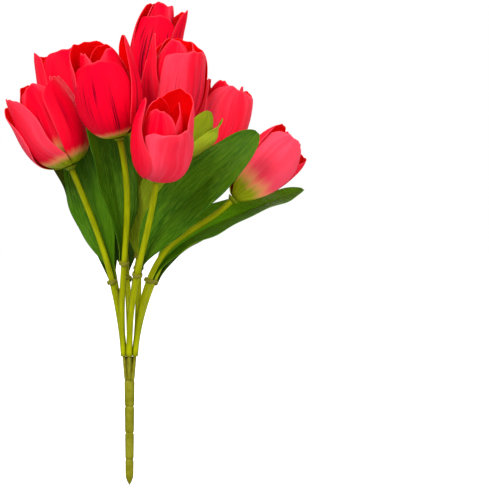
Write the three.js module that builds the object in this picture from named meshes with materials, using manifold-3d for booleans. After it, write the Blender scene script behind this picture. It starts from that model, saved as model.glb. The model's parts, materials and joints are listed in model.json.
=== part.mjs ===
// A bouquet of artificial tulips: nine wired stems pushed onto the stubs of one moulded trunk.
// Each stem carries a leaf on a turning collar and a flower head on a turning peg.
// Millimetres, +Z up, origin at the point of the trunk. The front of the bouquet is -Y.

import * as THREE from "three";
import { mergeVertices } from "three/addons/utils/BufferGeometryUtils.js";
import Module from "manifold-3d";

const wasm = await Module();
wasm.setup();

// Trunk
const TRUNK_HEIGHT = 90.4;
const TRUNK_FOOT_RADIUS = 2.8;
const TRUNK_TOP_RADIUS = 3.8;
const TRUNK_TIP_HEIGHT = 7.5;
const TRUNK_CHAMFER = 1;
const TRUNK_SIDES = 10;
const GROOVE_COUNT = 4;
const GROOVE_PITCH = 18.5;
const GROOVE_DEPTH = 0.55;
const GROOVE_HALF_WIDTH = 1.2;

// Stubs on the crown of the trunk, in three columns of three, the middle one half a pitch further forward
const STUB_RISE = 0.6;
const STUB_ROOT_DEPTH = 16;
const STUB_ROOT_SHARE = 0.62;

// Stems
const FIT = 0.3;
const WIRE_RADIUS = 0.8;
const WIRE_FIT = 0.5;
const SLEEVE_WALL = 0.55;
const SLEEVE_SPACING = 0.3;
const PEG_LENGTH = 6.5;
const TUBE_SIDES = 8;
const BORE_SIDES = 6;
const STEM_STEPS = 8;
const STEM_HEIGHT = 187;

// Leaves
const COLLAR_WALL = 1.2;
const COLLAR_HEIGHT = 3;
const COLLAR_FLAT = 0.6;
const COLLAR_BITE = 0.6;
const LEAF_LENGTH = 128;
const LEAF_WIDTH = 35;
const LEAF_THICKNESS = 0.8;
const LEAF_TROUGH = 0.28;
const LEAF_ARCH = 7;
const LEAF_RISE = 0.32;
const LEAF_REACH = 0.66;
const LEAF_BELLY = 0.45;
const LEAF_TAPER = 1.4;
const LEAF_END = 1.01;
const LEAF_ROOT_SHARE = 0.1;
const LEAF_COLUMNS = 4;
const LEAF_ROWS = 8;

// Flower heads
const CUP_RADIUS = 21.5;
const PETAL_LENGTH = 60;
const PETAL_THICKNESS = 0.8;
const PETAL_HALF_ANGLE = 70;
const FOOT_HALF_ANGLE = 61;
const FOOT_SHARE = 0.1;
const PETAL_LAP = 1;
const PETAL_BELLY = 0.68;
const PETAL_SHOULDER = 0.62;
const PETAL_ROUNDNESS = 2.5;
const PETAL_END = 1.006;
const NOTCH_DEPTH = 0.24;
const NOTCH_HEIGHT = 0.3;
const HUB_LAP = 0.3;
const SWAY_SHARE = 0.6;
const CURL_START = 0.7;
const CURL_POWER = 1.5;
const TIP_RADIUS = 17;
const FLARE_BELLY = 0.3;
const WHORL_GAP = 5.6;
const WHORL_STEP = 3.4;
const INNER_SHORTER = 2;
const INNER_POINT = 0.12;
const PETALS = 3;
const PETAL_COLUMNS = 4;
const OUTER_ROWS = 5;
const INNER_ROWS = 4;
const FLANGE_RADIUS = 4.4;
const FLANGE_HEIGHT = 2.4;
const FLANGE_TAPER = 1.4;
const NECK_WALL = 1;
const PISTIL_HEIGHT = 17;
const PISTIL_WAIST = 0.6;
const FLOWER_GAP = 5;

// Sizes that follow from the ones above
const FACET = Math.cos(Math.PI / TUBE_SIDES);
const BORE_FACET = Math.cos(Math.PI / BORE_SIDES);
const BORE_RADIUS = (WIRE_RADIUS + WIRE_FIT) / BORE_FACET;
const SLEEVE_RADIUS = BORE_RADIUS + SLEEVE_WALL;
const STUB_RADIUS = WIRE_RADIUS + WIRE_FIT - FIT;
const STUB_PITCH = 2 * SLEEVE_RADIUS + SLEEVE_SPACING;
const COLUMN_PITCH = STUB_PITCH * Math.cos(Math.PI / 6);
const FOOT_HEIGHT = TRUNK_HEIGHT + STUB_RISE;
const COLLAR_BORE = (SLEEVE_RADIUS + FIT) / FACET;
const COLLAR_RADIUS = COLLAR_BORE + COLLAR_WALL;
const SOCKET_RADIUS = (WIRE_RADIUS + FIT) / BORE_FACET;
const NECK_RADIUS = SOCKET_RADIUS + NECK_WALL;
const HUB_RADIUS = NECK_RADIUS / FACET + FIT;
const OUTER_BASE = FIT + FLANGE_HEIGHT + FIT + PETAL_THICKNESS;
const INNER_BASE = OUTER_BASE + WHORL_STEP;
const FLOWER_PITCH = 2 * CUP_RADIUS + FLOWER_GAP;

// The nine flowers. Stub: column and row on the crown. Top: where the stem ends, across and back in
// flower pitches, then up from the feet of the stems as a share of the stem height. Lean: right, then
// forward, in degrees. Bow: how long the stem keeps its first and its last direction. Collar: how far up
// the stem, as a share of the stem height. Aim: a point that the leaf heads for, in the same terms as the
// top. Face: where the foot of the leaf's upper side looks, and twist how far that turns on the way to
// the tip. Blunt: how round that tip is. Long: the leaf's share of the full length. Girth: the cup's share
// of the full radius. Turn: of the outer petals about the head. Inner: the turn of the inner petals from
// there, and their share of the full length. Over: which edge of a petal lies on top. Petals: for each
// outer one its sway in degrees, its share of the full length, how early it tapers, and how far its tip
// opens and its lip curls, both as shares of the tip radius.
const FLOWERS = [
  {
    stub: [-1, 0], top: [-0.83, -0.17, 0.695], lean: [-23, 4], bow: [0.4, 0.35],
    collar: 0.28, aim: [-0.84, 0.4, 0.92], face: [-0.62, -1, 0.08], twist: 0, blunt: 1.6, long: 1,
    girth: 1.03, turn: 75, inner: [25, 1], over: 1,
    petals: [[0, 1, -0.15, 0, 0], [40, 0.86, 0.2, 0.4, 0.2], [-38, 0.97, 0.15, 0.2, 0.1]],
  },
  {
    stub: [-1, 1], top: [-0.76, 0.87, 0.82], lean: [-14, -6], bow: [0.4, 0.35],
    collar: 0.245, aim: [-1.15, 0.87, 0.72], face: [0.75, -0.65, 0.45], twist: 0, blunt: 1.6, long: 1,
    girth: 0.95, turn: 25, inner: [60, 0.95], over: 1,
    petals: [[0, 1, -0.1, 0.12, 0], [0, 1, 0, 0.12, 0], [0, 0.97, 0.1, 0.1, 0.3]],
  },
  {
    stub: [-1, -1], top: [-0.1, -0.84, 0.797], lean: [-13, 16], bow: [0.4, 0.35],
    collar: 0.353, aim: [-0.5, -0.35, 0.915], face: [1, -0.55, 0], twist: -45, blunt: 1.6, long: 1,
    girth: 1, turn: -15, inner: [60, 1], over: -1,
    petals: [[0, 0.93, -0.1, -0.03, 0], [5, 1.1, 0.1, 0, 0], [0, 1.1, -0.05, 0.06, 0]],
  },
  {
    stub: [1, 1], top: [0.22, 0.72, 1], lean: [11, -2], bow: [0.4, 0.35],
    collar: 0.332, aim: [0.14, 0.15, 0.915], face: [-0.2, 1, 0.1], twist: 0, blunt: 1.6, long: 1,
    girth: 0.8, turn: -15, inner: [60, 0.97], over: 1,
    petals: [[0, 0.82, -0.15, -0.04, 0], [0, 0.97, 0.1, 0.1, 0.06], [0, 1, -0.1, -0.12, 0]],
  },
  {
    stub: [0, -0.5], top: [0.52, -0.08, 0.834], lean: [9, 8], bow: [0.4, 0.35],
    collar: 0.374, aim: [1.22, -0.72, 0.86], face: [-0.2, 1, -0.2], twist: 0, blunt: 1.6, long: 0.88,
    girth: 1, turn: 50, inner: [60, 1], over: -1,
    petals: [[0, 0.92, -0.05, 0.06, 0], [0, 1, 0, 0.12, 0.06], [0, 1.03, 0.35, -0.15, 0.25]],
  },
  {
    stub: [0, -1.5], top: [0.43, -1.2, 0.642], lean: [8, 28], bow: [0.4, 0.35],
    collar: 0.321, aim: [1.92, -0.84, 0.845], face: [-0.2, -1, 0.3], twist: 0, blunt: 2.4, long: 1,
    girth: 0.92, turn: 15, inner: [90, 0.88], over: -1,
    petals: [[0, 0.66, -0.15, 0.2, 0.06], [0, 1, 0, 0.06, 0], [20, 1, 0.3, -0.14, 0.2]],
  },
  {
    stub: [1, 0], top: [1.06, 0.54, 0.695], lean: [17, 0], bow: [0.4, 0.35],
    collar: 0.289, aim: [1.65, 1.05, 0.508], face: [-0.55, -0.55, 0.6], twist: 0, blunt: 1.6, long: 1,
    girth: 0.9, turn: 25, inner: [60, 1], over: 1,
    petals: [[0, 0.97, 0, 0.12, 0.06], [0, 1, 0, 0.12, 0], [0, 1, 0.2, 0, 0]],
  },
  {
    stub: [0, 0.5], top: [-0.2, 1.22, 0.652], lean: [-4, -25], bow: [0.4, 0.35],
    collar: 0.3, aim: [-0.16, 2.1, 0.583], face: [0, -0.6, 0.8], twist: 0, blunt: 1.6, long: 1,
    girth: 0.95, turn: 0, inner: [60, 1], over: 1,
    petals: [[0, 1, 0, 0.18, 0], [0, 1, 0.1, 0.18, 0], [0, 1, 0, 0.18, 0]],
  },
  {
    stub: [1, -1], top: [1.48, -0.08, 0.578], lean: [45, -4], bow: [0.72, 0.34],
    collar: 0.289, aim: [2.38, 0.47, 0.6], face: [-0.33, -0.58, 0.66], twist: 0, blunt: 1.2, long: 1,
    girth: 0.82, turn: 0, inner: [60, 0.95], over: 1,
    petals: [[0, 0.95, -0.1, 0.06, 0], [0, 0.9, 0, 0.18, 0.06], [0, 1, 0, 0.06, 0]],
  },
];

const TRUNK_PLASTIC = { color: 0x8f8f46, roughness: 0.5, metalness: 0 };
const SLEEVE_PLASTIC = { color: 0x9aa03a, roughness: 0.4, metalness: 0 };
const WIRE_STEEL = { color: 0x8d8f92, roughness: 0.35, metalness: 1 };
const LEAF_PLASTIC = { color: 0x35611c, roughness: 0.5, metalness: 0 };
const HUB_PLASTIC = { color: 0x9aa545, roughness: 0.5, metalness: 0 };
const OUTER_PETAL = { color: 0xe8243f, roughness: 0.5, metalness: 0 };
const INNER_PETAL = { color: 0xc4101f, roughness: 0.5, metalness: 0 };

const radians = THREE.MathUtils.degToRad;
const { clamp, lerp, smoothstep } = THREE.MathUtils;

function vector(values) {
  return new THREE.Vector3(...values);
}

// Solid of a closed geometry, for joining with others
function solidOf(geometry) {
  const bare = new THREE.BufferGeometry();
  bare.setAttribute("position", geometry.getAttribute("position"));
  bare.setIndex(geometry.index);
  const merged = mergeVertices(bare, 1e-4);
  const mesh = new wasm.Mesh({
    numProp: 3,
    vertProperties: merged.attributes.position.array,
    triVerts: new Uint32Array(merged.index.array),
  });
  return new wasm.Manifold(mesh);
}

// One geometry from several closed ones that overlap
function joined(geometries) {
  const mesh = wasm.Manifold.union(geometries.map(solidOf)).getMesh();
  const geometry = new THREE.BufferGeometry();
  geometry.setAttribute("position", new THREE.BufferAttribute(mesh.vertProperties, 3));
  geometry.setIndex(new THREE.BufferAttribute(mesh.triVerts, 1));
  geometry.computeVertexNormals();
  return geometry;
}

// Body of revolution about Z from a list of [radius, height]
function turned(outline, sides) {
  const profile = outline.map(([radius, height]) => new THREE.Vector2(radius, height));
  return new THREE.LatheGeometry(profile, sides).rotateX(Math.PI / 2);
}

// Unit normal of a surface, by small steps in both directions
function normalAt(surface, u, v) {
  const step = 1e-3;
  const along = surface(u, v + step).sub(surface(u, v - step));
  const across = surface(u + step, v).sub(surface(u - step, v));
  return across.cross(along).normalize();
}

// Thin closed shell over surface(u, v), thickened evenly to both sides, with u and v from 0 to 1.
// Its rows lie closer together towards both ends.
function shell(surface, thickness, columns, rows) {
  const positions = [];
  const faces = [];
  const layer = (columns + 1) * (rows + 1);
  const at = (side, row, column) => side * layer + row * (columns + 1) + column;
  const quad = (a, b, c, d) => faces.push(a, b, c, a, c, d);
  for (const side of [0, 1]) {
    for (let row = 0; row <= rows; row += 1) {
      for (let column = 0; column <= columns; column += 1) {
        const u = column / columns;
        const v = 0.5 - 0.5 * Math.cos(Math.PI * row / rows);
        const point = surface(u, v);
        point.addScaledVector(normalAt(surface, u, v), (0.5 - side) * thickness);
        positions.push(point.x, point.y, point.z);
      }
    }
  }
  for (let row = 0; row < rows; row += 1) {
    for (let column = 0; column < columns; column += 1) {
      quad(at(0, row, column), at(0, row, column + 1), at(0, row + 1, column + 1), at(0, row + 1, column));
      quad(at(1, row, column), at(1, row + 1, column), at(1, row + 1, column + 1), at(1, row, column + 1));
    }
    quad(at(0, row, 0), at(0, row + 1, 0), at(1, row + 1, 0), at(1, row, 0));
    quad(at(0, row + 1, columns), at(0, row, columns), at(1, row, columns), at(1, row + 1, columns));
  }
  for (let column = 0; column < columns; column += 1) {
    quad(at(0, 0, column + 1), at(0, 0, column), at(1, 0, column), at(1, 0, column + 1));
    quad(at(0, rows, column), at(0, rows, column + 1), at(1, rows, column + 1), at(1, rows, column));
  }
  const geometry = new THREE.BufferGeometry();
  geometry.setAttribute("position", new THREE.Float32BufferAttribute(positions, 3));
  geometry.setIndex(faces);
  geometry.computeVertexNormals();
  return geometry;
}

// A path that starts part of the way up another one and runs straight on past its end
class Core extends THREE.Curve {
  constructor(path, from, beyond) {
    super();
    this.path = path;
    this.from = from;
    this.length = path.getLength();
    this.beyond = beyond;
  }

  getPoint(share) {
    const distance = lerp(this.from, this.length + this.beyond, share);
    const point = this.path.getPointAt(Math.min(distance / this.length, 1));
    return point.addScaledVector(this.path.getTangentAt(1), Math.max(distance - this.length, 0));
  }
}

// Points of a regular outline round the origin
function ring(radius, sides) {
  return Array.from({ length: sides }, (_, index) => {
    const angle = 2 * Math.PI * index / sides;
    return new THREE.Vector2(radius * Math.cos(angle), radius * Math.sin(angle));
  });
}

// Rod, or tube where the section has a hole, swept along a path
function swept(path, section) {
  return new THREE.ExtrudeGeometry(section, { steps: STEM_STEPS, extrudePath: path });
}

function meshOf(name, geometry, look) {
  const mesh = new THREE.Mesh(geometry, new THREE.MeshStandardMaterial(look));
  mesh.name = name;
  return mesh;
}

// Foot of a stem on its stub, and the direction in which the stub points
function footOf(stub) {
  const foot = vector([stub[0] * COLUMN_PITCH, stub[1] * STUB_PITCH, FOOT_HEIGHT]);
  const root = vector([foot.x * STUB_ROOT_SHARE, foot.y * STUB_ROOT_SHARE, TRUNK_HEIGHT - STUB_ROOT_DEPTH]);
  const direction = foot.clone().sub(root);
  return { foot, root, direction };
}

// Trunk: grooved stake with a pointed foot, and a round-ended stub for each stem
function trunkGeometry() {
  const radiusAt = (height) => lerp(TRUNK_FOOT_RADIUS, TRUNK_TOP_RADIUS, height / TRUNK_HEIGHT);
  const outline = [[0, 0]];
  for (const share of [0.25, 0.6, 1]) {
    outline.push([TRUNK_FOOT_RADIUS * Math.sin(share * Math.PI / 2), TRUNK_TIP_HEIGHT * share]);
  }
  for (let groove = 1; groove <= GROOVE_COUNT; groove += 1) {
    const height = groove * GROOVE_PITCH;
    const radius = radiusAt(height);
    outline.push([radius, height - GROOVE_HALF_WIDTH]);
    outline.push([radius - GROOVE_DEPTH, height]);
    outline.push([radius, height + GROOVE_HALF_WIDTH]);
  }
  outline.push([TRUNK_TOP_RADIUS, TRUNK_HEIGHT - TRUNK_CHAMFER]);
  outline.push([TRUNK_TOP_RADIUS - TRUNK_CHAMFER, TRUNK_HEIGHT]);
  outline.push([0, TRUNK_HEIGHT]);
  const pieces = [turned(outline, TRUNK_SIDES)];
  for (const { stub } of FLOWERS) {
    const { foot, root, direction } = footOf(stub);
    const peg = new THREE.CapsuleGeometry(STUB_RADIUS, direction.length(), 1, BORE_SIDES);
    const upright = new THREE.Vector3(0, 1, 0);
    peg.applyQuaternion(new THREE.Quaternion().setFromUnitVectors(upright, direction.clone().normalize()));
    peg.translate(...foot.clone().add(root).multiplyScalar(0.5).toArray());
    pieces.push(peg);
  }
  return joined(pieces);
}

// Half the angle that a petal spans: a joined foot, a notch above it, a belly and a round tip
function petalHalf(v, point) {
  const foot = (FOOT_HALF_ANGLE - PETAL_HALF_ANGLE) * (1 - smoothstep(v, 0, FOOT_SHARE));
  const notch = NOTCH_DEPTH * Math.sin(Math.PI * Math.min(v / NOTCH_HEIGHT, 1));
  const belly = PETAL_BELLY - point;
  const tip = Math.max(0, v - belly) / (PETAL_END - belly);
  return foot + PETAL_HALF_ANGLE * (Math.sqrt(1 - tip ** PETAL_ROUNDNESS) - notch);
}

// Surface of one petal that looks along +X: a cup profile, lapped over its neighbour along one edge
function petalSurface(base, cup, length, tipRadius, petal, over) {
  const [sway, , point, , curl] = petal;
  const belly = (8 * cup - HUB_RADIUS - tipRadius) / 6;
  const profile = new THREE.CubicBezierCurve(
    new THREE.Vector2(HUB_RADIUS, base),
    new THREE.Vector2(belly, base),
    new THREE.Vector2(belly, base + PETAL_SHOULDER * length),
    new THREE.Vector2(tipRadius, base + length),
  );
  return (u, v) => {
    const side = 2 * u - 1;
    const at = profile.getPoint(v);
    const slope = profile.getTangent(clamp(v, 0, 1));
    const lap = over * PETAL_LAP * side * lerp(HUB_LAP, 1, clamp(4 * v, 0, 1));
    const lift = lap + curl * TIP_RADIUS * smoothstep(v, CURL_START, 1) ** CURL_POWER;
    const radius = at.x + slope.y * lift;
    const swayed = sway * smoothstep(v, 0, SWAY_SHARE);
    const angle = radians(side * petalHalf(v, point) + swayed);
    return vector([radius * Math.cos(angle), radius * Math.sin(angle), at.y - slope.x * lift]);
  };
}

// Whorl of petals joined round their hub hole, the first one turned to the given angle
function whorlGeometry(base, cup, length, tipRadius, petals, turn, over, rows) {
  const shells = petals.map((petal, index) => {
    const [, share, , flare] = petal;
    const opened = flare * TIP_RADIUS;
    const surface = petalSurface(
      base, cup + FLARE_BELLY * opened, share * length, tipRadius + opened, petal, over,
    );
    return shell(surface, PETAL_THICKNESS, PETAL_COLUMNS, rows).rotateZ(radians(turn + index * 360 / PETALS));
  });
  return joined(shells);
}

// Receptacle: flange under the petals, neck through them, pistil on top and a socket for the peg
function receptacleGeometry() {
  const top = INNER_BASE + PETAL_THICKNESS + FIT;
  return turned([
    [0, FIT + PEG_LENGTH],
    [SOCKET_RADIUS, FIT + PEG_LENGTH],
    [SOCKET_RADIUS, FIT],
    [FLANGE_RADIUS - FLANGE_TAPER, FIT],
    [FLANGE_RADIUS, FIT + FLANGE_HEIGHT],
    [NECK_RADIUS, FIT + FLANGE_HEIGHT],
    [NECK_RADIUS, top + 0.06 * PISTIL_HEIGHT],
    [PISTIL_WAIST * NECK_RADIUS, top + 0.7 * PISTIL_HEIGHT],
    [NECK_RADIUS, top + 0.85 * PISTIL_HEIGHT],
    [PISTIL_WAIST * NECK_RADIUS, top + PISTIL_HEIGHT],
    [0, top + PISTIL_HEIGHT],
  ], BORE_SIDES);
}

// Leaf with its collar: blade grown from the ring on the side away from its face
function leafGeometry(aim, face, twist, blunt, length) {
  const up = new THREE.Vector3(0, 0, 1);
  const front = face.clone().setZ(0).normalize();
  const start = front.clone().multiplyScalar((1 - COLLAR_BITE) * COLLAR_WALL - COLLAR_RADIUS);
  const tip = start.clone().addScaledVector(aim.clone().sub(start).normalize(), length);
  const midrib = new THREE.CubicBezierCurve3(
    start,
    start.clone().addScaledVector(up, LEAF_RISE * length),
    start.clone().lerp(tip, LEAF_REACH).addScaledVector(face, LEAF_ARCH),
    tip,
  );
  const surface = (u, v) => {
    const side = 2 * u - 1;
    const point = midrib.getPoint(v);
    const along = midrib.getTangent(clamp(v, 0, 1));
    const look = face.clone().applyAxisAngle(along, twist * v);
    const across = along.clone().cross(look).normalize();
    const normal = across.clone().cross(along);
    const grown = Math.sin(0.5 * Math.PI * clamp(v / LEAF_BELLY, 0, 1)) ** LEAF_TAPER;
    const end = Math.sqrt(1 - (Math.max(0, v - LEAF_BELLY) / (LEAF_END - LEAF_BELLY)) ** blunt);
    const half = 0.5 * LEAF_WIDTH * Math.max(Math.min(grown, end), LEAF_ROOT_SHARE);
    point.addScaledVector(across, half * side);
    return point.addScaledVector(normal, LEAF_TROUGH * half * side * side);
  };
  const blade = shell(surface, LEAF_THICKNESS, LEAF_COLUMNS, LEAF_ROWS);
  const half = COLLAR_HEIGHT / 2;
  const band = turned([
    [COLLAR_BORE, -half],
    [COLLAR_RADIUS, -COLLAR_FLAT * half],
    [COLLAR_RADIUS, COLLAR_FLAT * half],
    [COLLAR_BORE, half],
    [COLLAR_BORE, -half],
  ], TUBE_SIDES);
  return joined([band, blade]);
}

// Point given across and back in flower pitches, then up from the feet of the stems in stem heights
function placed([across, back, up]) {
  return vector([across * FLOWER_PITCH, back * FLOWER_PITCH, FOOT_HEIGHT + up * STEM_HEIGHT]);
}

// Axis of a head that leans to the right and forward
function headAxis([right, forward]) {
  return vector([
    Math.sin(radians(right)) * Math.cos(radians(forward)),
    -Math.sin(radians(forward)),
    Math.cos(radians(right)) * Math.cos(radians(forward)),
  ]);
}

// Turn that carries +Z to the given axis and keeps -Y to the front
function facingFront(axis) {
  const across = axis.clone().cross(new THREE.Vector3(0, -1, 0)).normalize();
  const basis = new THREE.Matrix4().makeBasis(across, axis.clone().cross(across), axis);
  return new THREE.Quaternion().setFromRotationMatrix(basis);
}

// One flower: stem with its wire, leaf and head, in a group at the foot of the stem
function flower(details, number) {
  const { foot, direction } = footOf(details.stub);
  const axis = headAxis(details.lean);
  const top = placed(details.top).sub(foot);
  const reach = top.length();
  const path = new THREE.CubicBezierCurve3(
    new THREE.Vector3(),
    direction.clone().setLength(details.bow[0] * reach),
    top.clone().addScaledVector(axis, -details.bow[1] * reach),
    top,
  );
  const stem = new THREE.Group();
  stem.name = `stem_${number}`;
  stem.position.copy(foot);

  const core = new Core(path, STUB_RADIUS + FIT, PEG_LENGTH - FIT);
  const tube = new THREE.Shape(ring(SLEEVE_RADIUS, TUBE_SIDES));
  tube.holes.push(new THREE.Path(ring(BORE_RADIUS, BORE_SIDES)));
  const rod = new THREE.Shape(ring(WIRE_RADIUS, BORE_SIDES));
  stem.add(meshOf(`stem_sleeve_${number}`, swept(path, tube), SLEEVE_PLASTIC));
  stem.add(meshOf(`stem_wire_${number}`, swept(core, rod), WIRE_STEEL));

  const share = details.collar * STEM_HEIGHT / path.getLength();
  const collar = new THREE.Group();
  collar.name = `collar_${number}`;
  collar.position.copy(path.getPointAt(share));
  collar.quaternion.copy(facingFront(path.getTangentAt(share)));
  const inward = collar.quaternion.clone().invert();
  const aim = placed(details.aim).sub(foot).sub(collar.position).applyQuaternion(inward);
  const face = vector(details.face).normalize().applyQuaternion(inward);
  const length = details.long * LEAF_LENGTH;
  const blade = leafGeometry(aim, face, radians(details.twist), details.blunt, length);
  collar.add(meshOf(`leaf_${number}`, blade, LEAF_PLASTIC));
  stem.add(collar);

  const head = new THREE.Group();
  head.name = `head_${number}`;
  head.position.copy(top);
  head.quaternion.copy(facingFront(axis));
  const { girth, petals, over } = details;
  const tip = girth * TIP_RADIUS;
  const cup = girth * CUP_RADIUS;
  const closed = Math.min(0, ...petals.map(([, , , flare]) => flare)) * TIP_RADIUS;
  const turn = details.turn - 90;
  const [innerTurn, innerLength] = details.inner;
  const within = petals.map(() => [0, innerLength, INNER_POINT, 0, 0]);
  const outer = whorlGeometry(OUTER_BASE, cup, PETAL_LENGTH, tip, petals, turn, over, OUTER_ROWS);
  const inner = whorlGeometry(
    INNER_BASE, cup - WHORL_GAP, PETAL_LENGTH - INNER_SHORTER, tip + closed - WHORL_GAP,
    within, turn + innerTurn, over, INNER_ROWS,
  );
  head.add(meshOf(`receptacle_${number}`, receptacleGeometry(), HUB_PLASTIC));
  head.add(meshOf(`outer_petals_${number}`, outer, OUTER_PETAL));
  head.add(meshOf(`inner_petals_${number}`, inner, INNER_PETAL));
  stem.add(head);
  return stem;
}

const bouquet = new THREE.Group();
bouquet.name = "tulip_bouquet";
bouquet.add(meshOf("trunk", trunkGeometry(), TRUNK_PLASTIC));
FLOWERS.forEach((details, index) => bouquet.add(flower(details, index + 1)));

export default bouquet;
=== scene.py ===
"""Looks of a bouquet of artificial tulips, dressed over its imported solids.

Sizes are in millimetres until a mesh is made, and meshes are in metres, +Z up, with the origin at the
point of the trunk. The front of the bouquet is -Y.
"""

import json
import math
from typing import NamedTuple

import bpy
import numpy as np
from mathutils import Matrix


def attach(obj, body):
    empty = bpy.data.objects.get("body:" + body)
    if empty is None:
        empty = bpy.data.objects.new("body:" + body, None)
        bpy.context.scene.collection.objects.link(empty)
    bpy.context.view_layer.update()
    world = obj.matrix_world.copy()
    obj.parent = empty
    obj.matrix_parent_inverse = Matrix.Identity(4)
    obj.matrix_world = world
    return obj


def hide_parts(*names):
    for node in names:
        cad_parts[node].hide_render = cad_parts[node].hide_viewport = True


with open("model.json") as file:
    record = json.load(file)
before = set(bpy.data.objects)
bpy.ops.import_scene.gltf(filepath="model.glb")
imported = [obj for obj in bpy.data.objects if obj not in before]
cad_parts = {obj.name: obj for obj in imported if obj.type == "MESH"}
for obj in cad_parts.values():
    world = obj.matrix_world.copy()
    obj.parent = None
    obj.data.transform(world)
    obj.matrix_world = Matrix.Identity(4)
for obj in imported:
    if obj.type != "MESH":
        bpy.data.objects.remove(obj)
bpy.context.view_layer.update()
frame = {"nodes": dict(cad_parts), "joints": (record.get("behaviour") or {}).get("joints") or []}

MM = 0.001
SEED = 7
LEAF_SEED = 27
SEED_REACH = 50

# Camera: level, looking along +Y, with the photograph's frame
CAMERA_AT = (80.5, -1800, 168.8)
FRAME_WIDTH = 342.3
SENSOR_WIDTH = 36

# Lights and floor, in metres and watts: each light has a name, a place, a size and a power
LIGHTS = (
    ("key", (-0.6, -1.2, 1.2), 0.8, 23),
    ("fill", (1.1, -1.4, 0.3), 1.0, 12),
    ("back", (0.3, 1.2, 1.0), 1.0, 6),
)
LIGHT_TARGET = (0.02, 0, 0.2)
AMBIENT = 0.6
WHITE = (1, 1, 1, 1)
FLOOR_REACH = 40
FLOOR_DROP = 0.001

# Trunk
TRUNK_HEIGHT = 90.4
TRUNK_FOOT_RADIUS = 2.8
TRUNK_TOP_RADIUS = 3.8
TRUNK_TIP_HEIGHT = 7.5
TRUNK_TIP_START = 0.06
TRUNK_TIP_STEPS = 9
TRUNK_STEP = 0.5
TRUNK_SIDES = 40
CROWN_DEPTH = 0.9
CROWN_EDGE = [(0.2, 0.4), (0.8, 0)]
GROOVE_COUNT = 4
GROOVE_PITCH = 18.5
GROOVE_DEPTH = 0.55
GROOVE_HALF_WIDTH = 1.2
STUB_RADIUS = 1.0
STUB_ROOT_RADIUS = 1.15
STUB_ROOT_DEPTH = 16
STUB_ROOT_SHARE = 0.62
STUB_STEPS = 12
STUB_SIDES = 20
STUB_DOME = np.array([0.4, 0.75, 0.95, 0.999])
TRUNK_VOXEL = 0.3
TRUNK_RELAXES = 4

# Radius of a closed end, in place of a single point
POLE_RADIUS = 0.01

# Stems and the collars of the leaves
SLEEVE_RADIUS = 2.05
BORE_RADIUS = 1.35
BORE_MOUTH = 1.7
STEM_STEPS = 61
STEM_SIDES = 24
COLLAR_BORE = 2.4
COLLAR_RADIUS = 3.74
COLLAR_HEIGHT = 3
COLLAR_ATTACH = 3.26
COLLAR_STEPS = 25
COLLAR_SIDES = 32

# Leaves
LEAF_LENGTH = 128
LEAF_WIDTH = 35
LEAF_THICKNESS = 0.7
LEAF_TROUGH = 0.28
LEAF_ARCH = 7
LEAF_RISE = 0.32
LEAF_REACH = 0.66
LEAF_BELLY = 0.45
LEAF_END = 1.002
LEAF_ROOT_TAPER = 1.4
LEAF_ROOT_SHARE = 0.1
LEAF_WAVE = 1.1
LEAF_FOLD = 1.0
LEAF_FOLD_WIDTH = 0.12
LEAF_ROWS = 72
LEAF_COLUMNS = 29

# Curled second tip of one leaf
TIPPED_LEAF = 5
TIP_SPINE = [(42.4, -25, 235), (51.5, -29, 237.5), (61, -31.5, 242.5), (65.5, -31.5, 255.5)]
TIP_HALF_WIDTH = 6.2
TIP_POINT = 0.2
TIP_TWIST = math.radians(130)
TIP_TWIST_START = 0.55
# Painted light on the second tip: the share of a brighter green mixed into it
TIP_PAINTED_LIGHT = 0.9
TIP_ROWS = 32
TIP_COLUMNS = 13

# Share of a sheet's thickness that is left at its rim
RIM_SHARE = 0.45

# Flower heads
CUP_RADIUS = 21.5
PETAL_COUNT = 3
PETAL_LENGTH = 60
PETAL_THICKNESS = 0.7
PETAL_HALF_ANGLE = math.radians(70)
FOOT_HALF_ANGLE = math.radians(61)
FOOT_SHARE = 0.1
SWAY_SHARE = 0.6
PETAL_LAP = 1
HUB_LAP = 0.3
PETAL_BELLY = 0.68
PETAL_SHOULDER = 0.62
PETAL_ROUNDNESS = 2.5
PETAL_END = 1.006
NOTCH_HEIGHT = 0.3
FINGER_START = 0.35
FINGER_END = 0.8
CURL_START = 0.7
CURL_POWER = 1.5
TIP_RADIUS = 17
FLARE_BELLY = 0.3
WHORL_GAP = 5.6
INNER_SHORTER = 2
INNER_GREENER = 0.1
INNER_PALE = 0.2
GREEN_START = 0.2
GREEN_END = 1.6
OUTER_BASE = 3.8
INNER_BASE = 7.2
PETAL_ROWS = 44
PETAL_COLUMNS = 33

# Waves in a petal: heights of its swells, ripples at the sides, lip, crease and end, and the crease's width
SWELL_BROAD = 0.35
SWELL_FINE = 0.25
RIPPLE = 0.6
LIP_BROAD = 0.8
LIP_FINE = 0.4
CREASE = 0.5
CREASE_WIDTH = 0.1
END_BROAD = 0.8
END_FINE = 0.4

# Hub of a head, as radius and height, and the stamens round its pistil
HUB_RADIUS = 2.76
HUB_OUTLINE = [
    (POLE_RADIUS, 0.7), (2.7, 0.3), (3.1, 0.8), (4.4, 2.5), (4.1, 2.7), (2.27, 2.7), (2.27, 9),
    (1.6, 12), (1.4, 18), (1.9, 20.2), (2.2, 21.6), (1.9, 23), (1.2, 25), (POLE_RADIUS, 25.3),
]
HUB_SIDES = 32
STAMEN_COUNT = 6
STAMEN_FOOT = (2.0, 8)
STAMEN_TOP = (4.6, 20)
STAMEN_RISE = 4
STAMEN_CROOK = 5
STAMEN_RADIUS = 0.4
STAMEN_POINT = 0.05
ANTHER_START = 0.62
ANTHER_SWELL = 0.65
STAMEN_STEPS = 15
STAMEN_SIDES = 10

# A leaf's aim is counted across and back in this pitch, and up from the stems' feet in stem heights
FLOWER_PITCH = 48
FOOT_HEIGHT = 91
STEM_HEIGHT = 187


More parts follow.
